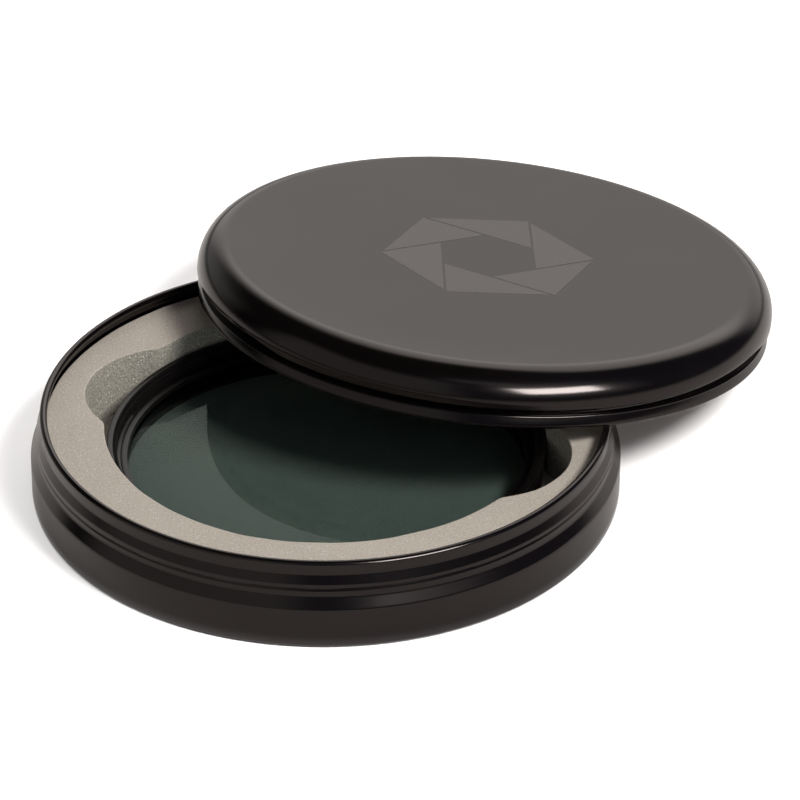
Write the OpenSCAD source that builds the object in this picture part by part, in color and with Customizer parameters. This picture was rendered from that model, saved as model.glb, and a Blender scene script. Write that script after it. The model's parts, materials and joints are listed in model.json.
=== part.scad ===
/* [Tin] */
// Outer diameter of the straight wall
tin_d = 107.5; // [106.5:0.5:109]
// Height of the open tin, from the floor to the top of the rolled rim
tin_h = 16.45; // [16.3:0.05:17.2]
// Thickness of the pressed aluminium sheet, in the tin and the lid
sheet = 0.45; // [0.35:0.05:0.5]
// Radius of the tin's bottom edge
foot_r = 0.8; // [0.6:0.1:1.2]
// Height at which the straight wall ends and the shoulder starts
wall_h = 7.6; // [7:0.1:8]
// Height at which the shoulder ends and the rolled thread starts
thread_z = 10.25; // [10:0.05:10.4]
// Height of one turn of the rolled thread
thread_pitch = 1; // [0.9:0.05:1.05]
// How far the thread stands out of the ridge under the neck
thread_out = 0.25; // [0.2:0.05:0.35]
// How far the neck stands back from the straight wall
neck_in = 1.85; // [1.7:0.05:2]
// Radius of the rolled rim
rim_roll_r = 0.7; // [0.6:0.05:0.75]

/* [Foam] */
// Thickness of the pad under the filter
base_pad_t = 1; // [0.6:0.1:1.2]
// Height of the insert's top face above the floor
foam_top = 13.1; // [12.5:0.1:13.4]
// Clearance between the filter's rim and the wall of its pocket
pocket_gap = 0.25; // [0.2:0.05:0.5]
// Radius of a finger notch
notch_r = 15.6; // [14:0.1:16]
// Distance from the tin's axis to the centre of a finger notch
notch_centre = 30.4; // [29:0.1:31]
// Direction of the first finger notch; the second is opposite
notch_az = 160; // [0:5:355]

/* [Filter] */
// Nominal diameter of the screw thread, front and rear
filter_thread_d = 77; // [76.8:0.1:77.2]
// Diameter of the knurled rim
filter_d = 80; // [79.8:0.1:80.4]
// Height of the turning front ring above the rear ring
front_ring_h = 3.5; // [3.2:0.1:3.8]
// Length of the rear screw thread
rear_thread_l = 2; // [1.8:0.1:2.2]
// Height of the rear ring above its thread
rear_ring_h = 2.1; // [2:0.1:2.3]
// Gap between the faces of the two rings
ring_gap = 0.1; // [0.05:0.05:0.15]
// Radial running clearance between the two rings
run_gap = 0.05; // [0.03:0.01:0.08]
// Thickness of each glass disc
glass_t = 0.6; // [0.55:0.05:0.65]
// Thickness of each film between the glass discs
film_t = 0.05; // [0.03:0.01:0.08]
// Clear radius inside the retaining ring
clear_r = 36.2; // [35.5:0.1:36.4]

/* [Lid] */
// Height of the lid, from its hem to its flat top
lid_h = 10.6; // [10:0.1:11]
// Radius of the rounded shoulder
lid_shoulder_r = 5.75; // [5.5:0.05:6]
// Depth of the hem that is folded in at the bottom
hem_h = 2.35; // [2.2:0.05:2.5]
// Height of the pad's face above the hem
pad_face = 4.05; // [4:0.05:4.1]
// Distance between the axes of the tin and the resting lid
lid_shift = 51.3; // [51:0.1:52]
// Direction from the tin's axis to the lid's
lid_az = 54.4; // [54:0.1:55]
// Height of the resting lid's hem, at its middle
lid_z = 12.45; // [12.4:0.05:12.8]
// Angle at which the lid leans
lid_tilt = 8.4; // [8.3:0.1:8.5]
// Direction in which the lid leans down
lean_az = 54.4; // [54:0.2:55]

/* [Hidden] */
$fn = 96;
eps = 0.01;

black = [0.13, 0.12, 0.12];
foam_grey = [0.70, 0.67, 0.62];
glass_green = [0.16, 0.22, 0.20];

// Tin
tin_r = tin_d / 2;
neck_r = tin_r - neck_in;
ridge_r = neck_r + 0.45;
thread_top = thread_z + 2 * thread_pitch;
neck_z = thread_top + 1.75;
neck_rise = 0.1;
roll_z = tin_h - rim_roll_r;
roll_r = neck_r - rim_roll_r;

// Foam
foam_r = neck_r - sheet - 0.1;
pad_r = tin_r - sheet - foot_r;
pocket_r = filter_d / 2 + pocket_gap;

// Filter, upwards from the pad it lies on
filter_r = filter_d / 2;
male_r = filter_thread_d / 2;
female_r = male_r - 0.4;
filter_z = sheet + base_pad_t;
flange_z = filter_z + rear_thread_l;
front_z = flange_z + rear_ring_h + ring_gap;
filter_top = front_z + front_ring_h;
sleeve_bore_r = male_r + 0.1;
sleeve_r = sleeve_bore_r - run_gap;
seat_r = male_r - 1;
web_t = 0.5;
sleeve_z = flange_z + web_t + ring_gap;
pack_t = 2 * glass_t + 2 * film_t;
pack_z = front_z - pack_t;
glass_r = seat_r - 0.1;
lip_r = clear_r + 0.2;
retainer_t = 1;
mouth_r = female_r + 0.8;
mouth_h = 0.6;
wire_r = 0.2;
wire_z = flange_z + 1.1;
wire_groove = 0.25;
wire_split = 8;

// Lid
nose_r = tin_r + 0.85;
lid_shoulder_in = nose_r - lid_shoulder_r;
lid_skirt_r = tin_r + 0.5;
lid_groove_r = tin_r - 0.4;
lid_groove_h = 1.6;
hem_t = 1;
pad_top_gap = 0.05;
lid_pad_r = neck_r - 1.6;
lid_pos = [lid_shift * cos(lid_az), lid_shift * sin(lid_az), lid_z];
emblem_r = 19.5;
emblem_hole_r = 8;
emblem_gap = 0.9;
emblem_t = 0.05;

// Points of an arc about (cx, cz) in the plane of a turned profile
function arc(cx, cz, r, a0, a1, n) =
    [for (i = [0:n]) let(a = a0 + (a1 - a0) * i / n) [cx + r * cos(a), cz + r * sin(a)]];

// Smooth step of a wall from radius r0 to r1 between two heights
function blend(r0, r1, z0, z1, n) =
    [for (i = [0:n]) [r0 + (r1 - r0) * (1 - cos(180 * i / n)) / 2, z0 + (z1 - z0) * i / n]];

// A rounded ridge of height out on a wall of radius r
function ridge(r, out, z0, z1, n) =
    [for (i = [0:n]) [r + out * sin(180 * i / n), z0 + (z1 - z0) * i / n]];

// The other face of a sheet whose first face follows path
function other_face(path, t) =
    [for (i = [0:len(path) - 1])
        let(a = path[max(i - 1, 0)], b = path[min(i + 1, len(path) - 1)], d = b - a)
        path[i] + t * [-d[1], d[0]] / norm(d)];

function reversed(path) = [for (i = [len(path) - 1:-1:0]) path[i]];

// Outer face of the tin, from the middle of its floor up to the rim
function tin_face() = concat(
    [[0, 0]],
    arc(tin_r - foot_r, foot_r, foot_r, -90, 0, 5),
    blend(tin_r, ridge_r, wall_h, thread_z, 8),
    ridge(ridge_r, thread_out, thread_z + 0.05, thread_z + thread_pitch, 6),
    ridge(ridge_r, thread_out, thread_z + thread_pitch + 0.05, thread_top, 6),
    blend(ridge_r, neck_r, thread_top + 0.05, neck_z, 6),
    blend(neck_r, neck_r + neck_rise, neck_z + 0.2, neck_z + 0.5, 3),
    [[neck_r + neck_rise, roll_z - 0.6]]
);

// Outer face of the lid, from above its hem up to the middle of its top
function lid_face() = concat(
    blend(lid_skirt_r, lid_groove_r, hem_h - 0.4, hem_h, 3),
    blend(lid_groove_r, nose_r, hem_h + lid_groove_h - 0.2, hem_h + lid_groove_h + 0.1, 3),
    arc(lid_shoulder_in, lid_h - lid_shoulder_r, lid_shoulder_r, 0, 90, 12),
    [[0, lid_h]]
);

// Inner face of the lid, from the top of its folded hem up to the middle
function lid_inner_face() = concat(
    [[lid_groove_r - sheet, hem_h], [lid_groove_r - sheet, hem_h + lid_groove_h - 0.2]],
    [[nose_r - sheet, hem_h + lid_groove_h + 0.4]],
    arc(lid_shoulder_in, lid_h - lid_shoulder_r, lid_shoulder_r - sheet, 0, 90, 10),
    [[0, lid_h - sheet]]
);

module tube(outer, inner, z0, z1) {
    translate([0, 0, z0])
        difference() {
            cylinder(r = outer, h = z1 - z0);
            translate([0, 0, -eps])
                cylinder(r = inner, h = z1 - z0 + 2 * eps);
        }
}

module disc(r, z0, t) {
    translate([0, 0, z0])
        cylinder(r = r, h = t);
}

// A ring-shaped groove of square section, to cut away
module groove(r, depth, z, w) {
    tube(r + depth, r - depth, z, z + w);
}

// Puts the lid's own frame, with its hem at z = 0, where the lid lies
module on_lid() {
    translate(lid_pos)
        rotate([0, 0, lean_az])
            rotate([0, lid_tilt, 0])
                rotate([0, 0, -lean_az])
                    children();
}

module tin_body() {
    face = tin_face();
    rim = arc(roll_r, roll_z, rim_roll_r, 0, 275, 16);
    color(black)
        rotate_extrude()
            polygon(concat(face, rim, reversed(other_face(face, sheet))));
}

module base_pad() {
    color(foam_grey)
        disc(pad_r, sheet, base_pad_t);
}

module foam_insert() {
    color(foam_grey)
        difference() {
            disc(foam_r, filter_z, foam_top - filter_z);
            disc(pocket_r, filter_z - 1, foam_top);
            for (side = [0, 180])
                rotate([0, 0, notch_az + side])
                    translate([notch_centre, 0, 0])
                        disc(notch_r, filter_z - 1, foam_top);
        }
}

// Fixed ring with the screw thread that goes on the lens
module rear_ring() {
    bore_r = clear_r + 0.4;
    color(black)
        difference() {
            union() {
                disc(male_r, filter_z, rear_thread_l + eps);
                disc(filter_r - 0.2, flange_z, rear_ring_h);
            }
            disc(bore_r, filter_z - 1, 10);
            disc(sleeve_bore_r, flange_z + web_t, 10);
            groove(sleeve_bore_r, wire_groove, wire_z - wire_groove, 2 * wire_groove);
            for (i = [0:2])
                groove(filter_r - 0.2, 0.12, flange_z + 0.45 + 0.5 * i, 0.25);
            for (i = [0:1])
                groove(male_r, 0.35, filter_z + 0.55 + 0.75 * i, 0.3);
        }
}

// Split spring wire that holds the two rings together and lets them turn
module snap_wire() {
    color("silver")
        rotate([0, 0, wire_split / 2])
            rotate_extrude(angle = 360 - wire_split)
                translate([sleeve_bore_r - run_gap / 2, wire_z])
                    circle(r = wire_r, $fn = 32);
}

// Knurled ring that turns, with the glass seat below and the accessory thread above
module front_ring() {
    color(black)
        difference() {
            union() {
                disc(sleeve_r, sleeve_z, front_z - sleeve_z + eps);
                disc(filter_r, front_z, front_ring_h);
            }
            disc(lip_r, 0, filter_top);
            disc(seat_r, pack_z, filter_top);
            disc(female_r, front_z + retainer_t, filter_top);
            translate([0, 0, filter_top - mouth_h])
                cylinder(r1 = female_r, r2 = mouth_r, h = mouth_h + eps);
            groove(sleeve_r, wire_groove, wire_z - wire_groove, 2 * wire_groove);
            groove(filter_r, 0.2, filter_top - 1.15, 0.25);
            difference() {
                tube(filter_r + 1, filter_r - 0.3, filter_top - 0.3, filter_top + 1);
                translate([0, 0, filter_top - 0.3])
                    cylinder(r1 = filter_r, r2 = filter_r - 0.3, h = 0.3 + eps);
            }
        }
}

// Threaded ring over the glass, with two slots for a spanner
module retaining_ring() {
    slot_w = 1.4;
    color(black)
        difference() {
            tube(seat_r - run_gap, clear_r, front_z, front_z + retainer_t);
            for (side = [0, 180])
                rotate([0, 0, 90 + side])
                    translate([clear_r - 1, -slot_w / 2, front_z + retainer_t - 0.5])
                        cube([1.9, slot_w, 1]);
        }
}

module lower_glass() {
    color(glass_green)
        disc(glass_r, pack_z, glass_t);
}

module quarter_wave_film() {
    color("dimgray")
        disc(glass_r, pack_z + glass_t, film_t);
}

module polarising_film() {
    color("darkslategray")
        disc(glass_r, pack_z + glass_t + film_t, film_t);
}

module upper_glass() {
    color(glass_green)
        disc(glass_r, front_z - glass_t, glass_t);
}

module lid_shell() {
    hem_r = lid_skirt_r - hem_t / 2;
    hem = arc(hem_r, hem_t / 2, hem_t / 2, -180, 0, 8);
    hem_inside = [[lid_skirt_r - hem_t, hem_h - 0.3]];
    color(black)
        on_lid()
            rotate_extrude()
                polygon(concat(hem_inside, hem, lid_face(), reversed(lid_inner_face())));
}

module lid_pad() {
    inner_r = lid_shoulder_r - sheet - pad_top_gap;
    reach = acos((lid_pad_r - lid_shoulder_in) / inner_r);
    color(foam_grey)
        on_lid()
            rotate_extrude()
                polygon(concat(
                    [[0, pad_face], [lid_pad_r, pad_face]],
                    arc(lid_shoulder_in, lid_h - lid_shoulder_r, inner_r, reach, 90, 5),
                    [[0, lid_h - sheet - pad_top_gap]]
                ));
}

// Tonal print: six iris blades around a six-sided opening
module lid_emblem() {
    color([0.2, 0.19, 0.18])
        on_lid()
            translate([0, 0, lid_h])
                linear_extrude(emblem_t)
                    for (i = [0:5])
                        rotate([0, 0, 60 * i])
                            iris_blade();
}

// One blade: its inner edge is a side of the opening, carried on to the outer hexagon
module iris_blade() {
    side = 2 * emblem_hole_r / sqrt(3);
    inner = [[emblem_hole_r, -side / 2], [emblem_hole_r, side / 2]];
    reach = sqrt(pow(emblem_r, 2) - pow(emblem_hole_r, 2));
    tip = [emblem_hole_r, reach];
    next_tip = [tip[0] * cos(60) + tip[1] * sin(60), tip[1] * cos(60) - tip[0] * sin(60)];
    shift = emblem_gap * [1, 0];
    polygon([inner[0] + shift, tip + shift, next_tip + shift]);
}

tin_body();
base_pad();
foam_insert();
rear_ring();
snap_wire();
front_ring();
retaining_ring();
lower_glass();
quarter_wave_film();
polarising_film();
upper_glass();
lid_shell();
lid_pad();
lid_emblem();
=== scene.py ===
"""A lens filter in its screw-top tin, with the lid leaning on the rim.

Sizes are in millimetres, and MM turns them into metres. The lamps are placed in metres.
"""

import json
import math

import bpy
import numpy as np
from mathutils import Matrix, Vector, noise


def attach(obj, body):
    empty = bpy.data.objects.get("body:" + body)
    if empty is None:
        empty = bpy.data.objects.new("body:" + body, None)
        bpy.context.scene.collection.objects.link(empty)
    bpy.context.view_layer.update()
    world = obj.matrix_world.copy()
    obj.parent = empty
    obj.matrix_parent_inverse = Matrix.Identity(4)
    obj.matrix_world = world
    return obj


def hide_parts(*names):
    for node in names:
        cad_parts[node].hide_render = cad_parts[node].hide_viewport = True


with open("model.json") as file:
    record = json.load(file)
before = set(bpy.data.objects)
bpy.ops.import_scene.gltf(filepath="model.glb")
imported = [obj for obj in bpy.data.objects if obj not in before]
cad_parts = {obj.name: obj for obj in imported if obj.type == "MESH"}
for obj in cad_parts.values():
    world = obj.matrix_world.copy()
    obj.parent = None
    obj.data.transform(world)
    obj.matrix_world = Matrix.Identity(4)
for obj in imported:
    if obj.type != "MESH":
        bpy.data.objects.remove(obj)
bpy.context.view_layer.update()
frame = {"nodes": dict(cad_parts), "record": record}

MM = 0.001

# ---------------------------------------------------------------- sizes


def vertices(node):
    """A CAD node's vertices, in millimetres."""
    return np.array([v.co for v in frame["nodes"][node].data.vertices]) / MM


def low(node):
    return vertices(node)[:, 2].min()


def high(node):
    return vertices(node)[:, 2].max()


def reach(node):
    """How far a node reaches from the tin's axis."""
    return np.hypot(*vertices(node)[:, :2].T).max()


def lid_matrix():
    """The lid's own frame, with its hem at z = 0, from the joint that turns it."""
    turn = next(j for j in frame["record"]["behaviour"]["joints"] if j["name"] == "lid_turn")
    lean = Vector((0, 0, 1)).rotation_difference(Vector(turn["axis"]))
    return Matrix.Translation(Vector(turn["pos_m"])) @ lean.to_matrix().to_4x4()


LID = lid_matrix()


def in_lid(node):
    """A node's vertices in the lid's own frame, in millimetres."""
    back = np.array(LID.inverted())
    points = vertices(node) * MM @ back[:3, :3].T + back[:3, 3]
    return points / MM


# Sheet metal
SHEET = 0.45
TIN_R = reach("tin_body")
TIN_TOP = high("tin_body")
FOOT_R = 0.8
DISH = 0.15
DISH_R = 49
DISH_OUT_R = 50.5
FLAT_R = 46
WALL_TOP = 7.6
RIDGE_LOW = 10.3
RIDGE_HIGH = 12.2
NECK_LOW = 14.1
NECK_R = TIN_R - 1.85
RIDGE_R = NECK_R + 0.7
RIM_ROLL = 0.7

# The tin's thread: one valley that climbs once round, from the back. Angles are in degrees.
VALLEY = 11.42
VALLEY_DEPTH = 0.19
VALLEY_FOOT = 0.45
VALLEY_HEAD = 0.24
THREAD_PITCH = 1.15
THREAD_START = 85
THREAD_RISE = (3, 15)
THREAD_FALL = (345, 357)

# Foam
FOAM_TOP = high("foam_insert")
FOAM_LOW = low("foam_insert")
FOAM_R = reach("foam_insert")
FOAM_EDGE = 0.3
POCKET_R = reach("front_ring") + 0.25
NOTCH_R = 15.6
NOTCH_OUT = 30.4
NOTCH_AT = math.radians(160)

# Filter
RING_R = reach("front_ring")
RING_TOP = high("front_ring")
RING_LOW = low("front_ring")
SEAT_LOW = low("lower_glass")
SEAT_R = reach("lower_glass") + 0.1
SEAT_LIP = 1.1
FACE_LOW = high("rear_ring") + 0.1
RING_EDGE = 0.15
RIM_EDGE = 0.28
# Both threads of the filter, M77 x 0.75, and the knurled and grooved bands beside them
MINOR_R = 38.1
MAJOR_R = 38.5
FINE_PITCH = 0.75
THREAD_DEPTH = 0.4
LEAD_IN = 0.75
LEAD_SLOPE = 1.3
KNURLS = 457
KNURL_DEPTH = 0.16
KNURL_BAND = 1.15
WAIST = 0.2
BORE_R = 36.6
MALE_LENGTH = 2
WIRE_GROOVE = 0.25
GRIP_DEPTH = 0.12
GRIP_PITCH = 0.5
LEDGE = high("retaining_ring")
CLEAR_R = 36.2
SLOT_SIDE = (0.66, 0.74)
SLOT_DEPTH = 0.5
LAYER_GAP = 0.005

# Lid, in its own frame
LID_H = in_lid("lid_shell")[:, 2].max()
LID_SKIRT_R = TIN_R + 0.5
LID_GROOVE_R = TIN_R - 0.5
LID_NOSE_R = TIN_R + 0.85
LID_SHOULDER = 5.75
LID_SHOULDER_IN = LID_NOSE_R - LID_SHOULDER
HEM_H = 2.35
HEM_T = 1.0
# The hem leans in towards its top, where a small lip stands out.
HEM_LEAN = 0.36
HEM_EASE = 0.6
LIP_OUT = 0.08
LIP_HALF = 0.15
GROOVE_TOP = 3.9
GROOVE_CURVE = 1.6
BAND_TOP = LID_H - LID_SHOULDER
# Three beads climb from the hem across the groove. Angles are in degrees.
BEAD_STARTS = (-98, 22, 142)
BEAD_RUN = 70
BEAD_RISE = (2, 30)
BEAD_FALL = (BEAD_RUN, BEAD_RUN + 14)
BEAD_CLIMB = 2.1
BEAD_CURVE = 1.15
BEAD_HALF = 0.45
BEAD_ROOM = 0.5
BEAD_FILL = 0.3
LINER_FACE = in_lid("lid_pad")[:, 2].min()
LINER_TOP = in_lid("lid_pad")[:, 2].max()
LINER_R = np.hypot(*in_lid("lid_pad")[:, :2].T).max()
LINER_GAP = 0.05

# Mesh steps round the axis
DISC_STEPS = 256
SHELL_STEPS = 512
RING_STEPS = 720
SHARP_ANGLE = math.radians(38)

# ---------------------------------------------------------------- outlines and meshes


def line(r0, z0, r1, z1, n=2):
    return np.column_stack([np.linspace(r0, r1, n), np.linspace(z0, z1, n)])


def arc(r, z, radius, start, end, n):
    a = np.radians(np.linspace(start, end, n))
    return np.column_stack([r + radius * np.cos(a), z + radius * np.sin(a)])


def blend(r0, z0, r1, z1, n):
    """A smooth step between two radii."""
    t = np.linspace(0, 1, n)
    return np.column_stack([r0 + (r1 - r0) * (1 - np.cos(np.pi * t)) / 2, z0 + (z1 - z0) * t])


def outline(*parts):
    """One path from several, without repeated points."""
    path = np.vstack(parts)
    keep = np.r_[True, np.abs(np.diff(path, axis=0)).sum(1) > 1e-6]
    return path[keep]


def joined(*parts):
    """One path from several, and the number of the part that each point is in."""
    return np.vstack(parts), np.repeat(np.arange(len(parts)), [len(p) for p in parts])


def slope(r0, z0, r1, z1, n, soft):
    """A straight slope between two radii, eased at both ends."""
    t = np.linspace(0, 1, n)
    rate = np.clip(np.minimum(t, 1 - t) / soft, 0, 1)
    run = np.concatenate([[0], np.cumsum((rate[1:] + rate[:-1]) / 2)])
    return np.column_stack([r0 + (r1 - r0) * run / run[-1], z0 + (z1 - z0) * t])


def smoothstep(x, low_edge, high_edge):
    t = np.clip((x - low_edge) / (high_edge - low_edge), 0, 1)
    return t * t * (3 - 2 * t)


def span(x, rise, fall):
    """0, then up to 1 over rise, and back to 0 over fall."""
    return smoothstep(x, *rise) * (1 - smoothstep(x, *fall))


def add_object(name, data):
    obj = bpy.data.objects.new(name, data)
    bpy.context.scene.collection.objects.link(obj)
    return obj


def make_object(name, points, faces, matrix=None):
    """A smooth-shaded object with its sharp edges marked.

    points are in millimetres, in matrix's frame.
    """
    points = points * MM
    if matrix is not None:
        place = np.array(matrix)
        points = points @ place[:3, :3].T + place[:3, 3]
    mesh = bpy.data.meshes.new(name)
    mesh.from_pydata(points.tolist(), [], faces)
    mesh.validate()
    mesh.shade_smooth()
    mesh.set_sharp_from_angle(angle=SHARP_ANGLE)
    return add_object(name, mesh)


def turned(name, section, steps, solid=False, matrix=None):
    """A mesh from an outline carried round the axis.

    section(angle) gives r and z as arrays with a row for each angle. With solid, the outline starts and
    ends on the axis; otherwise it closes on itself. The outline runs with the material on its left.
    """
    angle = np.linspace(0, 2 * np.pi, steps, endpoint=False)[:, None]
    r, z = np.broadcast_arrays(*section(angle))
    if solid:
        poles = [[0, 0, z[0, 0]], [0, 0, z[0, -1]]]
        r, z = r[:, 1:-1], z[:, 1:-1]
    count = r.shape[1]
    points = np.stack([r * np.cos(angle), r * np.sin(angle), z], axis=-1).reshape(-1, 3)
    here = np.arange(steps)[:, None] * count
    there = (np.arange(steps)[:, None] + 1) % steps * count
    a = np.arange(count - 1 if solid else count)[None, :]
    b = (a + 1) % count
    faces = np.stack([here + a, there + a, there + b, here + b], axis=-1).reshape(-1, 4).tolist()
    if solid:
        first, last = len(points), len(points) + 1
        points = np.vstack([points, poles])
        faces += [[first, int(there[i, 0]), int(here[i, 0])] for i in range(steps)]
        end = count - 1
        faces += [[last, int(here[i, 0]) + end, int(there[i, 0]) + end] for i in range(steps)]
    return make_object(name, points, faces, matrix)


def plain(path):
    """A section that is the same all round."""
    return lambda angle: (path[None, :, 0] + 0 * angle, path[None, :, 1] + 0 * angle)


def hump(off, half_width):
    """A rounded ridge's height across it, from 0 to 1."""
    return np.cos(np.pi / 2 * np.clip(off / half_width, -1, 1)) ** 2


def after(angle, start):
    """How far past start an angle is, in degrees from 0 to 360."""
    return np.degrees(angle - math.radians(start)) % 360


def fine_thread(angle, z):
    """A V thread's depth from crest to root, from 0 to 1."""
    phase = (z / FINE_PITCH - angle / (2 * np.pi)) % 1
    return np.clip(1.35 * np.abs(2 * phase - 1) - 0.15, 0, 1)


def roughen(obj, scale, height, seed):
    """Moves vertices along their normals by smooth noise, as on cut or moulded foam."""
    mesh = obj.data
    shift = Vector((seed, 2 * seed, 3 * seed))
    normals = [v.normal.copy() for v in mesh.vertices]
    for v, normal in zip(mesh.vertices, normals):
        v.co += normal * (height * MM * noise.noise(v.co / (scale * MM) + shift))
    mesh.update()


# ---------------------------------------------------------------- materials


def rgb(r, g, b):
    return (r, g, b, 1.0)


class Nodes:
    """Short calls that build a node tree."""

    def __init__(self, tree):
        self.tree = tree

    def add(self, kind, **settings):
        node = self.tree.nodes.new(kind)
        for key, value in settings.items():
            setattr(node, key, value)
        return node

    def link(self, source, target):
        self.tree.links.new(source, target)

    def put(self, value, socket):
        if isinstance(value, bpy.types.NodeSocket):
            self.link(value, socket)
        else:
            socket.default_value = value

    def maths(self, operation, *values):
        node = self.add("ShaderNodeMath", operation=operation)
        for value, socket in zip(values, node.inputs):
            self.put(value, socket)
        return node.outputs[0]

    def length(self, x, y):
        squares = [self.maths("MULTIPLY", side, side) for side in (x, y)]
        return self.maths("SQRT", self.maths("ADD", *squares))

    def place(self):
        """Object coordinates, in metres."""
        return self.add("ShaderNodeTexCoord").outputs["Object"]

    def noise(self, vector, scale, detail=2.0, roughness=0.5):
        node = self.add("ShaderNodeTexNoise")
        self.link(vector, node.inputs["Vector"])
        node.inputs["Scale"].default_value = scale
        node.inputs["Detail"].default_value = detail
        node.inputs["Roughness"].default_value = roughness
        return node.outputs["Fac"]

    def cells(self, vector, scale):
        node = self.add("ShaderNodeTexVoronoi")
        self.link(vector, node.inputs["Vector"])
        node.inputs["Scale"].default_value = scale
        return node.outputs["Distance"]

    def spread(self, value, low_in, high_in, low_out, high_out, interpolation="LINEAR"):
        """The value moved from one range to another, and kept inside it."""
        node = self.add("ShaderNodeMapRange", interpolation_type=interpolation)
        self.link(value, node.inputs["Value"])
        for socket, number in zip(list(node.inputs)[1:5], (low_in, high_in, low_out, high_out)):
            socket.default_value = number
        return node.outputs["Result"]

    def mix(self, factor, low_colour, high_colour):
        node = self.add("ShaderNodeMix", data_type="RGBA")
        self.put(factor, node.inputs["Factor"])
        self.put(low_colour, node.inputs[6])
        self.put(high_colour, node.inputs[7])
        return node.outputs[2]

    def ramp(self, value, low_in, high_in, low_colour, high_colour):
        """A colour that changes as the value crosses a range."""
        return self.mix(self.spread(value, low_in, high_in, 0, 1), low_colour, high_colour)

    def bump(self, height, strength, distance, below=None):
        node = self.add("ShaderNodeBump")
        self.link(height, node.inputs["Height"])
        node.inputs["Strength"].default_value = strength
        node.inputs["Distance"].default_value = distance * MM
        if below is not None:
            self.link(below, node.inputs["Normal"])
        return node.outputs["Normal"]

    def painted_glints(self, vector, colour, scale, size):
        """The colour with sparse bright specks painted in: painted glints, as off cell walls that catch
        the light.
        """
        share, bright = 0.2, rgb(0.72, 0.7, 0.65)
        node = self.add("ShaderNodeTexVoronoi")
        self.link(vector, node.inputs["Vector"])
        node.inputs["Scale"].default_value = scale
        split = self.add("ShaderNodeSeparateColor")
        self.link(node.outputs["Color"], split.inputs[0])
        few = self.maths("LESS_THAN", split.outputs[0], share)
        near = self.spread(node.outputs["Distance"], size, 2 * size, 1, 0)
        return self.mix(self.maths("MULTIPLY", few, near), colour, bright)

    def in_frame(self, vector, matrix):
        """The vector in another frame."""
        node = self.add("ShaderNodeMapping", vector_type="TEXTURE")
        self.link(vector, node.inputs["Vector"])
        node.inputs["Location"].default_value = matrix.to_translation()
        node.inputs["Rotation"].default_value = matrix.to_euler()
        return node.outputs[0]

    def lathe_lines(self, vector, scale):
        """Noise that changes with the radius and the height only, as tool marks on a turned face."""
        split = self.add("ShaderNodeSeparateXYZ")
        self.link(vector, split.inputs[0])
        x, y, z = split.outputs
        join = self.add("ShaderNodeCombineXYZ")
        self.link(self.length(x, y), join.inputs[0])
        self.link(z, join.inputs[1])
        return self.noise(join.outputs[0], scale, detail=3.0)


class Surface(Nodes):
    """A new material, with short calls for its nodes."""

    def __init__(self, name):
        self.material = bpy.data.materials.new(name)
        self.material.use_nodes = True
        super().__init__(self.material.node_tree)
        self.shader = self.tree.nodes["Principled BSDF"]
        self.output = self.tree.nodes["Material Output"]

    def set(self, socket, value):
        """Puts a number, a colour or a node's output on one of the shader's sockets."""
        self.put(value, self.shader.inputs[socket])


COATING_IOR = 1.39
COATING_TINT = rgb(1.0, 0.90, 0.87)


def black_lacquer(name, matrix):
    """Satin black coating on pressed aluminium. matrix is the turned part's own frame."""
    m = Surface(name)
    place = m.in_frame(m.place(), matrix)
    cloud = m.noise(place, 60, detail=3)
    speck = m.noise(place, 9000, detail=1)
    lines = m.lathe_lines(place, 4000)
    dark, light = rgb(0.0020, 0.0015, 0.0015), rgb(0.0027, 0.0020, 0.0020)
    colour = m.ramp(cloud, 0.35, 0.65, dark, light)
    m.set("Base Color", colour)
    m.set("Roughness", m.spread(cloud, 0.3, 0.7, 0.135, 0.16))
    m.set("IOR", COATING_IOR)
    m.set("Specular Tint", COATING_TINT)
    grain = m.bump(speck, 0.10, 0.01)
    m.set("Normal", m.bump(lines, 0.06, 0.01, grain))
    return m.material


def black_anodised():
    """Fine turned aluminium under black anodising."""
    m = Surface("black_anodised")
    place = m.place()
    cloud = m.noise(place, 220, detail=3)
    lines = m.lathe_lines(place, 9000)
    dark, light = rgb(0.0028, 0.0022, 0.0021), rgb(0.0042, 0.0033, 0.0031)
    colour = m.ramp(cloud, 0.35, 0.65, dark, light)
    m.set("Base Color", colour)
    m.set("Roughness", m.spread(lines, 0.3, 0.7, 0.28, 0.40))
    m.set("IOR", 1.33)
    m.set("Normal", m.bump(lines, 0.15, 0.01))
    return m.material


def foam_skin():
    """Flat top face of a closed-cell foam sheet."""
    m = Surface("foam_skin")
    place = m.place()
    grain = m.noise(place, 2600, detail=3, roughness=0.6)
    pores = m.cells(place, 1900)
    cloud = m.noise(place, 90, detail=3)
    base = m.ramp(cloud, 0.3, 0.7, rgb(0.33, 0.295, 0.25), rgb(0.37, 0.333, 0.285))
    colour = m.ramp(grain, 0.35, 0.68, base, rgb(0.46, 0.425, 0.37))
    # Painted glints: bright specks in the skin's colour
    m.set("Base Color", m.painted_glints(place, colour, 2200, 0.13))
    m.set("Roughness", 0.85)
    m.set("Specular IOR Level", 0.25)
    soft = m.bump(pores, 0.25, 0.06)
    m.set("Normal", m.bump(grain, 0.35, 0.05, soft))
    return m.material


def foam_cut():
    """Sawn edge of the foam, where its cells are open."""
    m = Surface("foam_cut")
    place = m.place()
    pores = m.cells(place, 2200)
    grain = m.noise(place, 5200, detail=2)
    # Darker towards each cell's middle, where the bump sinks it: painted shade in the open cells
    colour = m.ramp(pores, 0.15, 0.6, rgb(0.23, 0.228, 0.19), rgb(0.37, 0.352, 0.297))
    # Painted glints: bright specks in the cut face's colour
    m.set("Base Color", m.painted_glints(place, colour, 2000, 0.17))
    m.set("Roughness", 0.9)
    m.set("Specular IOR Level", 0.2)
    soft = m.bump(pores, 0.7, 0.12)
    m.set("Normal", m.bump(grain, 0.3, 0.05, soft))
    return m.material


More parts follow.
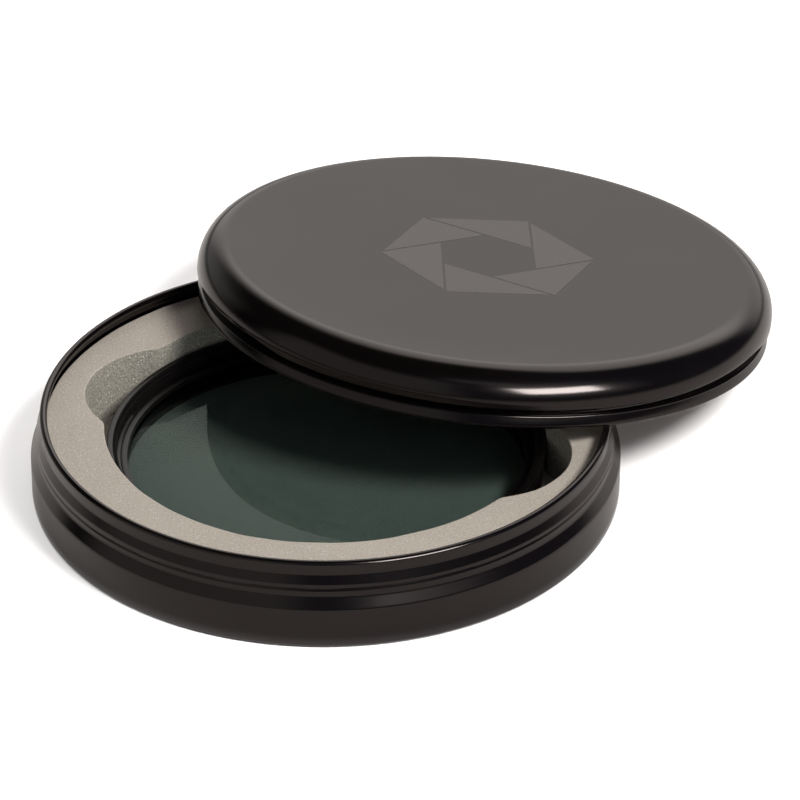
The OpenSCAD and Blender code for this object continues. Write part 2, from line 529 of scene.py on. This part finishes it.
def pane(name, through, mirror_ior, gloss):
    """A thin clear layer: tinted see-through, with a weak mirror on top."""
    m = Surface(name)
    clear = m.add("ShaderNodeBsdfTransparent")
    clear.inputs["Color"].default_value = rgb(*through)
    mirror = m.add("ShaderNodeBsdfGlossy")
    mirror.inputs["Roughness"].default_value = 0.02
    mirror.inputs["Color"].default_value = rgb(*gloss)
    edge = m.add("ShaderNodeFresnel")
    edge.inputs["IOR"].default_value = mirror_ior
    outside = m.maths("SUBTRACT", 1.0, m.add("ShaderNodeNewGeometry").outputs["Backfacing"])
    both = m.add("ShaderNodeMixShader")
    m.link(m.maths("MULTIPLY", edge.outputs[0], outside), both.inputs[0])
    m.link(clear.outputs[0], both.inputs[1])
    m.link(mirror.outputs[0], both.inputs[2])
    m.link(both.outputs[0], m.output.inputs["Surface"])
    m.tree.nodes.remove(m.shader)
    return m.material


def tonal_print():
    """Slightly paler, slightly duller print on the lid."""
    m = Surface("tonal_print")
    place = m.place()
    speck = m.noise(place, 7000, detail=2)
    m.set("IOR", COATING_IOR)
    m.set("Specular Tint", COATING_TINT)
    colour = m.ramp(speck, 0.35, 0.65, rgb(0.034, 0.0305, 0.029), rgb(0.040, 0.0365, 0.035))
    m.set("Base Color", colour)
    m.set("Roughness", m.spread(speck, 0.3, 0.7, 0.27, 0.31))
    m.set("Normal", m.bump(speck, 0.08, 0.01))
    return m.material


def spring_steel():
    m = Surface("spring_steel")
    place = m.place()
    streak = m.noise(place, 3000, detail=3)
    m.set("Base Color", m.mix(streak, rgb(0.42, 0.42, 0.43), rgb(0.6, 0.6, 0.61)))
    m.set("Metallic", 1.0)
    m.set("Roughness", m.spread(streak, 0.3, 0.7, 0.2, 0.35))
    return m.material


def studio_floor():
    """Pale floor that shows dimmer in reflections: painted shade for glossy rays past a few
    millimetres, and black far off.
    """
    m = Surface("studio_floor")
    path = m.add("ShaderNodeLightPath")
    distance = path.outputs["Ray Length"]
    pale, reflected_shade, black = rgb(0.6, 0.6, 0.6), rgb(0.285, 0.272, 0.262), rgb(0.05, 0.05, 0.05)
    off = m.spread(distance, 1.5 * MM, 4 * MM, 0, 1)
    mirrored = m.maths("MULTIPLY", path.outputs["Is Glossy Ray"], off)
    # Painted shade: glossy rays see the floor darker, then black far off
    painted_reflection_shade = m.ramp(distance, 120 * MM, 350 * MM, reflected_shade, black)
    m.set("Base Color", m.mix(mirrored, pale, painted_reflection_shade))
    m.set("Roughness", 0.9)
    m.set("Specular IOR Level", 0.1)
    return m.material


def dress(obj, *materials):
    """Replaces an object's materials. This puts every face on the first."""
    obj.data.materials.clear()
    for material in materials:
        obj.data.materials.append(material)


def cut_sides(obj):
    """Gives the foam's upright faces the second material."""
    for face in obj.data.polygons:
        face.material_index = 1 if abs(face.normal.z) < 0.55 else 0


# ---------------------------------------------------------------- tin


def tin_section():
    """Pressed shell: dished base, straight wall, thread valley, neck and rolled rim."""
    roll = (NECK_R - RIM_ROLL, TIN_TOP - RIM_ROLL)
    outside = outline(
        line(0, DISH, FLAT_R, DISH),
        blend(DISH_R, DISH, DISH_OUT_R, 0, 7),
        arc(TIN_R - FOOT_R, FOOT_R, FOOT_R, -90, 0, 12),
        line(TIN_R, 1.5, TIN_R, WALL_TOP - 0.3, 4),
        slope(TIN_R, WALL_TOP - 0.1, RIDGE_R, RIDGE_LOW, n=30, soft=0.2),
    )
    ridges = line(RIDGE_R, RIDGE_LOW + 0.08, RIDGE_R, RIDGE_HIGH - 0.05, 34)
    neck = outline(
        slope(RIDGE_R, RIDGE_HIGH, NECK_R, NECK_LOW, n=22, soft=0.12),
        line(NECK_R, 14.7, NECK_R, roll[1] - 0.5),
        arc(*roll, RIM_ROLL, 2, 275, 34),
    )
    inside = outline(
        line(NECK_R - SHEET, roll[1] - 0.75, NECK_R - SHEET, NECK_LOW),
        slope(NECK_R - SHEET, NECK_LOW - 0.1, RIDGE_R - SHEET, RIDGE_HIGH - 0.1, n=10, soft=0.35),
        line(RIDGE_R - SHEET, 11.5, RIDGE_R - SHEET, RIDGE_LOW),
        slope(RIDGE_R - SHEET, RIDGE_LOW - 0.2, TIN_R - SHEET, WALL_TOP - 0.3, n=12, soft=0.3),
        arc(TIN_R - FOOT_R, FOOT_R, FOOT_R - SHEET, 0, -90, 8),
        line(FLAT_R, SHEET, 0, SHEET),
    )
    path, part = joined(outside, ridges, neck, inside)

    def section(angle):
        z = path[None, :, 1] + 0 * angle
        lap = after(angle, THREAD_START)
        there = span(lap, THREAD_RISE, THREAD_FALL)
        above = z - VALLEY - THREAD_PITCH * (lap / 360 - 0.5)
        valley = np.clip(np.minimum(1 + above / VALLEY_FOOT, 1 - above / VALLEY_HEAD), 0, 1)
        return path[None, :, 0] - VALLEY_DEPTH * (part == 1) * there * valley, z

    return section


# ---------------------------------------------------------------- foam


def pocket_wall(angle):
    """Distance from the axis to the foam's inner wall: a round pocket with two finger notches."""
    soft = 0.35
    wall = np.full_like(angle, POCKET_R)
    for at in (NOTCH_AT, NOTCH_AT + math.pi):
        off = (angle - at + math.pi) % (2 * math.pi) - math.pi
        side = NOTCH_OUT * np.sin(off)
        inside = np.abs(side) < NOTCH_R
        far = NOTCH_OUT * np.cos(off) + np.sqrt(np.where(inside, NOTCH_R ** 2 - side ** 2, 0))
        far = np.where(inside & (np.abs(off) < math.pi / 2), far, 0)
        wall = np.logaddexp(wall / soft, far / soft) * soft
    return wall


def foam_section(angle):
    wall = pocket_wall(angle)
    inner, outer = wall + FOAM_EDGE, FOAM_R - FOAM_EDGE
    shoulder = FOAM_TOP - FOAM_EDGE
    corner = np.radians(np.linspace(180, 90, 6))[None, :]
    rim = np.radians(np.linspace(90, 0, 6))[None, :]
    columns = [
        (wall, np.linspace(FOAM_LOW, shoulder, 26)[None, :]),
        (inner + FOAM_EDGE * np.cos(corner), shoulder + FOAM_EDGE * np.sin(corner)),
        (inner + (outer - inner) * np.linspace(0, 1, 30)[None, 1:-1], FOAM_TOP),
        (outer + FOAM_EDGE * np.cos(rim), shoulder + FOAM_EDGE * np.sin(rim)),
        (FOAM_R, np.linspace(shoulder, FOAM_LOW, 14)[None, 1:]),
    ]
    spread_out = [np.broadcast_arrays(r + 0 * angle, z + 0 * angle) for r, z in columns]
    r, z = (np.hstack(side) for side in zip(*spread_out))
    return r[:, ::-1], z[:, ::-1]


def disc_path(r, z0, z1, edge, n=5):
    """Outline of a flat disc with rounded edges."""
    return outline(
        line(0, z0, r * 0.5, z0),
        arc(r - edge, z0 + edge, edge, -90, 0, n),
        arc(r - edge, z1 - edge, edge, 0, 90, n),
        line(r * 0.5, z1, 0, z1),
    )


# ---------------------------------------------------------------- filter


def sleeve_reach():
    """Radius of the front ring's foot, which turns inside the rear ring."""
    foot = vertices("front_ring")
    foot = foot[foot[:, 2] < FACE_LOW - 0.2]
    return np.hypot(*foot[:, :2].T).max()


def front_ring_section():
    """Knurled ring: glass seat at the foot, fine thread at the top."""
    knurl_low = RING_TOP - KNURL_BAND
    foot_r = sleeve_reach()
    lip_r = SEAT_R - SEAT_LIP
    foot = outline(
        arc(lip_r + RING_EDGE, RING_LOW + RING_EDGE, RING_EDGE, 180, 270, 4),
        arc(foot_r - RING_EDGE, RING_LOW + RING_EDGE, RING_EDGE, -90, 0, 4),
        line(foot_r, RING_LOW + 0.4, foot_r, FACE_LOW),
        arc(RING_R - RING_EDGE, FACE_LOW + RING_EDGE, RING_EDGE, -90, 0, 4),
    )
    lower = line(RING_R, FACE_LOW + 0.25, RING_R, knurl_low - 0.25, 4)
    waist = outline(
        line(RING_R, knurl_low - 0.2, RING_R - WAIST, knurl_low - 0.1),
        line(RING_R - WAIST, knurl_low + 0.05, RING_R, knurl_low + 0.15),
    )
    upper = line(RING_R, knurl_low + 0.2, RING_R, RING_TOP - 0.3, 3)
    top = outline(
        arc(RING_R - RIM_EDGE, RING_TOP - RIM_EDGE, RIM_EDGE, 5, 90, 6),
        line(RING_R - 0.5, RING_TOP, MINOR_R + LEAD_IN + 0.1, RING_TOP, 3),
    )
    lead_top = RING_TOP - 0.06
    thread = line(MINOR_R + LEAD_IN, lead_top, MINOR_R, LEDGE, 48)
    lead_in = MINOR_R + LEAD_IN - (lead_top - thread[:, 1]) * LEAD_SLOPE
    thread[:, 0] = np.maximum(MINOR_R, lead_in)
    seat = outline(
        line(MINOR_R, LEDGE - 0.02, SEAT_R, LEDGE - 0.02),
        line(SEAT_R, LEDGE - 0.1, SEAT_R, SEAT_LOW),
        line(SEAT_R - 0.2, SEAT_LOW, lip_r, SEAT_LOW),
    )
    path, part = joined(foot, lower, waist, upper, top, thread, seat)
    on_knurl = (part == 1) | (part == 3)
    on_thread = part == 5

    def section(angle):
        z = path[None, :, 1] + 0 * angle
        tooth = np.abs((angle * KNURLS / (2 * np.pi)) % 1 * 2 - 1)
        knurl = -KNURL_DEPTH * on_knurl * tooth
        room = np.clip(MAJOR_R - path[None, :, 0], 0, THREAD_DEPTH)
        return path[None, :, 0] + knurl + on_thread * fine_thread(angle, z) * room, z

    return section


def rear_ring_section():
    """Ring with the male thread that goes on the lens."""
    bottom, top = low("rear_ring"), high("rear_ring")
    flange_r = reach("rear_ring")
    flange_z = bottom + MALE_LENGTH
    sleeve_r = sleeve_reach() + 0.05
    wire_low, wire_high = flange_z + 0.85, flange_z + 1.35
    foot = outline(
        line(BORE_R, bottom + 0.2, BORE_R + 0.2, bottom),
        line(MINOR_R - 0.2, bottom, MINOR_R, bottom + 0.15),
    )
    thread = line(MAJOR_R, bottom + 0.2, MAJOR_R, flange_z - 0.2, 30)
    flange = outline(
        line(MINOR_R, flange_z - 0.1, MINOR_R, flange_z),
        arc(flange_r - RING_EDGE, flange_z + RING_EDGE, RING_EDGE, -90, 0, 4),
    )
    grip = line(flange_r, flange_z + 0.2, flange_r, top - 0.2, 40)
    inside = outline(
        arc(flange_r - RING_EDGE, top - RING_EDGE, RING_EDGE, 0, 90, 4),
        line(sleeve_r + 0.1, top, sleeve_r, top - 0.1),
        line(sleeve_r, wire_high + 0.01, sleeve_r + WIRE_GROOVE, wire_high),
        line(sleeve_r + WIRE_GROOVE, wire_low, sleeve_r, wire_low - 0.01),
        line(sleeve_r, flange_z + 0.5, BORE_R, flange_z + 0.5),
    )
    path, part = joined(foot, thread, flange, grip, inside)

    def section(angle):
        z = path[None, :, 1] + 0 * angle
        male = -THREAD_DEPTH * (part == 1) * fine_thread(angle, z)
        wave = 0.5 + 0.5 * np.cos(2 * np.pi * (z - flange_z) / GRIP_PITCH)
        return path[None, :, 0] + male - GRIP_DEPTH * (part == 3) * wave, z

    return section


def retaining_ring_section():
    """Flat ring with two spanner slots in its top."""
    bottom, outer = low("retaining_ring"), reach("retaining_ring")
    edge = 0.12
    path = outline(
        line(CLEAR_R, bottom, outer, bottom, 3),
        line(outer, bottom + 0.1, outer, LEDGE - edge, 4),
        arc(outer - edge, LEDGE - edge, edge, 0, 90, 4),
        line(outer - 0.3, LEDGE, CLEAR_R + 1.0, LEDGE, 4),
        line(CLEAR_R + 0.85, LEDGE, CLEAR_R + edge, LEDGE, 8),
        arc(CLEAR_R + edge, LEDGE - edge, edge, 90, 180, 5),
        line(CLEAR_R, LEDGE - 0.2, CLEAR_R, bottom + 0.1, 3),
    )
    slotted = (path[:, 0] < CLEAR_R + 0.9) & (path[:, 1] > LEDGE - 0.3)

    def section(angle):
        across = np.abs(angle % math.pi - math.pi / 2) * CLEAR_R
        in_slot = 1 - smoothstep(across, *SLOT_SIDE)
        z = path[None, :, 1] - SLOT_DEPTH * slotted * in_slot
        return path[None, :, 0] + 0 * angle, z

    return section


# ---------------------------------------------------------------- lid


def lid_section():
    """Pressed shell: folded hem, groove with three climbing beads, rounded shoulder, flat top."""
    inside = outline(
        line(0, LID_H - SHEET, LID_SHOULDER_IN, LID_H - SHEET),
        arc(LID_SHOULDER_IN, LID_H - LID_SHOULDER, LID_SHOULDER - SHEET, 90, 2, 20),
        line(LID_NOSE_R - SHEET, GROOVE_TOP + 0.4, LID_GROOVE_R - SHEET, GROOVE_TOP - 0.2),
        line(LID_GROOVE_R - SHEET, HEM_H + 0.6, LID_GROOVE_R - SHEET, HEM_H),
    )
    hem = outline(
        line(LID_SKIRT_R - HEM_T, HEM_H - 0.3, LID_SKIRT_R - HEM_T, HEM_T / 2),
        arc(LID_SKIRT_R - HEM_T / 2, HEM_T / 2, HEM_T / 2, 180, 345, 18),
    )
    skirt = line(LID_SKIRT_R, HEM_T / 2 - 0.1, LID_SKIRT_R, BAND_TOP, 86)
    shoulder = outline(
        arc(LID_SHOULDER_IN, LID_H - LID_SHOULDER, LID_SHOULDER, 1, 90, 44),
        line(40, LID_H, 0, LID_H, 3),
    )
    path, part = joined(inside, hem, skirt, shoulder)

    def section(angle):
        z = path[None, :, 1] + 0 * angle
        r = path[None, :, 0] + 0 * angle
        bead, lift = np.zeros(r.shape), np.zeros(angle.shape)
        for start in BEAD_STARTS:
            run = after(angle, start)
            middle = HEM_H + BEAD_CLIMB * np.clip(run / BEAD_RUN, 0, 1) ** BEAD_CURVE
            there = span(run, BEAD_RISE, BEAD_FALL)
            bead = np.maximum(bead, there * hump(z - middle - 0.1, BEAD_HALF))
            lift = np.maximum(lift, there * np.maximum(middle + BEAD_ROOM - GROOVE_TOP, 0))
        hem_z = np.clip(z - HEM_T / 2, 0, HEM_H)
        hem_r = LID_SKIRT_R - HEM_LEAN * hem_z ** 2 / (hem_z + HEM_EASE)
        hem_r = hem_r + LIP_OUT * hump(z - HEM_H + 0.1, LIP_HALF)
        past_hem = z > HEM_H - 0.02
        outer = np.where(past_hem, LID_NOSE_R, hem_r)
        share = np.clip((z - HEM_H) / (GROOVE_TOP + lift + 0.1 - HEM_H), 0, 1)
        groove = past_hem * (1 - share ** GROOVE_CURVE)
        grooved = outer - (outer - LID_GROOVE_R) * groove * (1 - BEAD_FILL * bead)
        return np.where(part == 2, grooved, r), z

    return section


def liner_path():
    """Outline of the lid's pad, which follows the shoulder from inside."""
    inner = LID_SHOULDER - SHEET - LINER_GAP
    stop = math.degrees(math.acos((LINER_R - LID_SHOULDER_IN) / inner))
    return outline(
        line(0, LINER_FACE, 25, LINER_FACE),
        arc(LINER_R - 0.4, LINER_FACE + 0.4, 0.4, -90, 0, 6),
        line(LINER_R, LINER_FACE + 1, LINER_R, LINER_TOP - 1.2, 8),
        arc(LID_SHOULDER_IN, LID_H - LID_SHOULDER, inner, stop, 90, 12),
        line(25, LINER_TOP, 0, LINER_TOP),
    )


def emblem():
    """Six iris blades around a six-sided opening, as a thin print."""
    outer, hole, gap = 19.5, 8.0, 0.9
    bottom, top = 0.004, 0.02
    side = 2 * hole / math.sqrt(3)
    tip = Vector((hole, math.sqrt(outer ** 2 - hole ** 2)))
    turn = Matrix.Rotation(math.radians(-60), 2)
    blade = [Vector((hole, -side / 2)), tip, turn @ tip]
    if (blade[1] - blade[0]).cross(blade[2] - blade[0]) < 0:
        blade.reverse()
    points, faces = [], []
    for k in range(6):
        spin = Matrix.Rotation(math.radians(60 * k), 2)
        corners = [spin @ (p + Vector((gap, 0))) for p in blade]
        base = len(points)
        points += [(p.x, p.y, LID_H + z) for z in (bottom, top) for p in corners]
        faces += [[base + 2, base + 1, base], [base + 3, base + 4, base + 5]]
        for i, j in ((0, 1), (1, 2), (2, 0)):
            faces.append([base + i, base + j, base + 3 + j, base + 3 + i])
    return make_object("lid_print", np.array(points), faces, LID)


# ---------------------------------------------------------------- the object

lacquer = black_lacquer("black_lacquer", Matrix())
lid_lacquer = black_lacquer("lid_lacquer", LID)
anodised = black_anodised()
skin = foam_skin()
cut = foam_cut()
coated_glass = pane("coated_glass", (0.985, 1.0, 0.99), 1.2, (0.65, 0.72, 0.69))
clear_glass = pane("clear_glass", (0.99, 1.0, 0.995), 1.02, (1, 1, 1))
dark_film = pane("dark_film", (0.625, 0.672, 0.685), 1.02, (1, 1, 1))
clear_film = pane("clear_film", (0.98, 0.99, 0.98), 1.02, (1, 1, 1))


def finish_piece(obj, body, node, slot, *materials):
    """Gives a piece its materials and its body, and hides its CAD node. slot is not used."""
    dress(obj, *materials)
    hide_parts(node)
    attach(obj, body)
    return obj


tin = turned("tin_shell", tin_section(), SHELL_STEPS, solid=True)
finish_piece(tin, "tin", "tin_body", "black_tin", lacquer)

insert = turned("foam_ring", foam_section, RING_STEPS)
roughen(insert, scale=6.0, height=0.10, seed=3)
finish_piece(insert, "tin", "foam_insert", "foam", skin, cut)
cut_sides(insert)

pad_path = disc_path(reach("base_pad"), low("base_pad"), high("base_pad"), FOAM_EDGE)
pad = turned("floor_pad", plain(pad_path), DISC_STEPS, solid=True)
finish_piece(pad, "tin", "base_pad", "foam", skin)

rear = turned("rear_ring_turned", rear_ring_section(), RING_STEPS)
finish_piece(rear, "filter", "rear_ring", "black_ring", anodised)

front = turned("front_ring_knurled", front_ring_section(), 2 * KNURLS)
finish_piece(front, "front", "front_ring", "black_ring", anodised)

retainer = turned("retaining_ring_slotted", retaining_ring_section(), 2 * RING_STEPS)
finish_piece(retainer, "front", "retaining_ring", "black_ring", anodised)

layers = [
    ("lower_glass", "filter_glass", clear_glass),
    ("quarter_wave_film", "clear_film", clear_film),
    ("polarising_film", "polarising_film", dark_film),
    ("upper_glass", "filter_glass", coated_glass),
]
for node, slot, material in layers:
    bottom, top = low(node), high(node)
    edge = min(0.12, (top - bottom) / 4)
    path = disc_path(reach(node), bottom + LAYER_GAP, top - LAYER_GAP, edge, 4)
    disc = turned(node + "_disc", plain(path), DISC_STEPS, solid=True)
    finish_piece(disc, "front", node, slot, material)

dress(frame["nodes"]["snap_wire"], spring_steel())

shell = turned("lid_pressed_shell", lid_section(), SHELL_STEPS, solid=True, matrix=LID)
finish_piece(shell, "lid", "lid_shell", "black_tin", lid_lacquer)

liner = turned("lid_liner_pad", plain(liner_path()), DISC_STEPS, solid=True, matrix=LID)
roughen(liner, scale=7.0, height=0.08, seed=5)
finish_piece(liner, "lid_liner", "lid_pad", "foam", skin, cut)
cut_sides(liner)

finish_piece(emblem(), "lid", "lid_emblem", "tonal_print", tonal_print())

# ---------------------------------------------------------------- studio

CAMERA_FROM = Vector((0, -0.69568, 0.44469))
CAMERA_AIM = Vector((0.013687, 0.012070, 0.010))
CAMERA_ROLL = math.radians(0.353)
LENS = 202.5
SENSOR = 36
FLOOR_HALF = 3.0
# Azimuth and elevation in degrees, distance, width and height in metres, power in watts
KEY = (-37, 51, 1.2, 0.42, 0.28, 14.5)
GLINT = (-54, 33, 1.2, 0.64, 0.36, 25)
FLOOR_KEY = (-37, 51, 1.2, 0.55, 0.4, 19)
SWEEP_FILL = (178, 60, 1.6, 1.3, 1.3, 35)
PANEL_COLOUR = rgb(1.0, 0.955, 0.915)
DUSK_COLOUR = rgb(0.35, 0.38, 1.0)
GLOOM = 0.015
# Azimuth, half width, softness, lower edge, upper edge, softness, strength: degrees, but for the last
DUSK = (-40, 70, 30, 0, 80, 15, 0.09)
PANELS = [
    (76, 28, 12, -30, 61, 6, 0.88),
    (72, 22, 12, 20, 59, 6, 1.4),
    (122, 20, 18, -30, 24, 12, 0.4),
    (-142, 40, 10, -30, 44, 8, 0.45),
    (-51, 24, 12, 13, 58, 5, 0.4),
    (-85, 16, 10, 50, 60, 5, 0.5),
]


def camera():
    data = bpy.data.cameras.new("camera")
    data.lens = LENS
    data.sensor_width = SENSOR
    data.clip_start = 0.01
    data.clip_end = 20
    obj = add_object("camera", data)
    aim = (CAMERA_AIM - CAMERA_FROM).to_track_quat("-Z", "Y").to_matrix().to_4x4()
    roll = Matrix.Rotation(CAMERA_ROLL, 4, "Z")
    obj.matrix_world = Matrix.Translation(CAMERA_FROM) @ aim @ roll
    bpy.context.scene.camera = obj


def softbox(name, azimuth, elevation, distance, width, height, power, colour):
    """A rectangular light aimed at the tin."""
    a, e = math.radians(azimuth), math.radians(elevation)
    away = Vector((math.cos(a) * math.cos(e), math.sin(a) * math.cos(e), math.sin(e)))
    data = bpy.data.lights.new(name, "AREA")
    data.shape = "RECTANGLE"
    data.size = width
    data.size_y = height
    data.energy = power
    data.color = colour
    obj = add_object(name, data)
    obj.location = away * distance
    obj.rotation_mode = "QUATERNION"
    obj.rotation_quaternion = away.to_track_quat("Z", "Y")
    return obj


def only_lights(light, *objects):
    """Keeps a light's effect to some objects."""
    group = bpy.data.collections.new(light.name + "_receivers")
    for obj in objects:
        group.objects.link(obj)
    light.light_linking.receiver_collection = group


def surroundings():
    """Pale panels round the tin, a faint blue dusk in front of it, and near darkness elsewhere."""
    world = bpy.data.worlds.new("studio")
    bpy.context.scene.world = world
    world.use_nodes = True
    sky = Nodes(world.node_tree)
    split = sky.add("ShaderNodeSeparateXYZ")
    sky.link(sky.add("ShaderNodeTexCoord").outputs["Generated"], split.inputs[0])
    x, y, z = split.outputs
    level = sky.maths("MAXIMUM", sky.length(x, y), 1e-4)

    def panel(azimuth, half, soft, low_edge, high_edge, rise, strength):
        """A soft-edged bright patch between two elevations, in degrees."""
        a = math.radians(azimuth)
        along = [sky.maths("MULTIPLY", x, math.cos(a)), sky.maths("MULTIPLY", y, math.sin(a))]
        across = sky.maths("DIVIDE", sky.maths("ADD", *along), level)
        wide = math.cos(math.radians(min(half + soft, 180)))
        narrow = math.cos(math.radians(max(half - soft, 0)))
        low_sines = [math.sin(math.radians(low_edge + step)) for step in (-rise, rise)]
        high_sines = [math.sin(math.radians(high_edge + step)) for step in (-rise, rise)]
        sides = sky.spread(across, wide, narrow, 0, strength, "SMOOTHSTEP")
        foot = sky.spread(z, *low_sines, 0, 1, "SMOOTHSTEP")
        head = sky.spread(z, *high_sines, 1, 0, "SMOOTHSTEP")
        return sky.maths("MULTIPLY", sides, sky.maths("MULTIPLY", foot, head))

    total = GLOOM
    for numbers in PANELS:
        total = sky.maths("ADD", panel(*numbers), total)
    back = sky.tree.nodes["Background"]
    dusk = sky.add("ShaderNodeBackground")
    both = sky.add("ShaderNodeAddShader")
    glows = ((back, total, PANEL_COLOUR), (dusk, panel(*DUSK), DUSK_COLOUR))
    for socket, (glow, strength, colour) in zip(both.inputs, glows):
        sky.link(strength, glow.inputs["Strength"])
        glow.inputs["Color"].default_value = colour
        sky.link(glow.outputs[0], socket)
    sky.link(both.outputs[0], sky.tree.nodes["World Output"].inputs["Surface"])


def floor():
    mesh = bpy.data.meshes.new("floor")
    signs = ((-1, -1), (1, -1), (1, 1), (-1, 1))
    mesh.from_pydata([(x * FLOOR_HALF, y * FLOOR_HALF, 0) for x, y in signs], [], [(0, 1, 2, 3)])
    obj = add_object("floor", mesh)
    dress(obj, studio_floor())
    return obj


camera()
surroundings()
ground = floor()
key = softbox("key", *KEY, (1.0, 0.97, 0.95))
key.visible_glossy = False
glint = softbox("glint", *GLINT, (1.0, 0.975, 0.96))
glint.visible_diffuse = False
for name, setting in (("floor_key", FLOOR_KEY), ("sweep_fill", SWEEP_FILL)):
    fill = softbox(name, *setting, (1.0, 0.98, 0.965))
    fill.visible_glossy = False
    only_lights(fill, ground)
bpy.context.scene.view_settings.view_transform = "Standard"
bpy.context.scene.cycles.transparent_max_bounces = 24
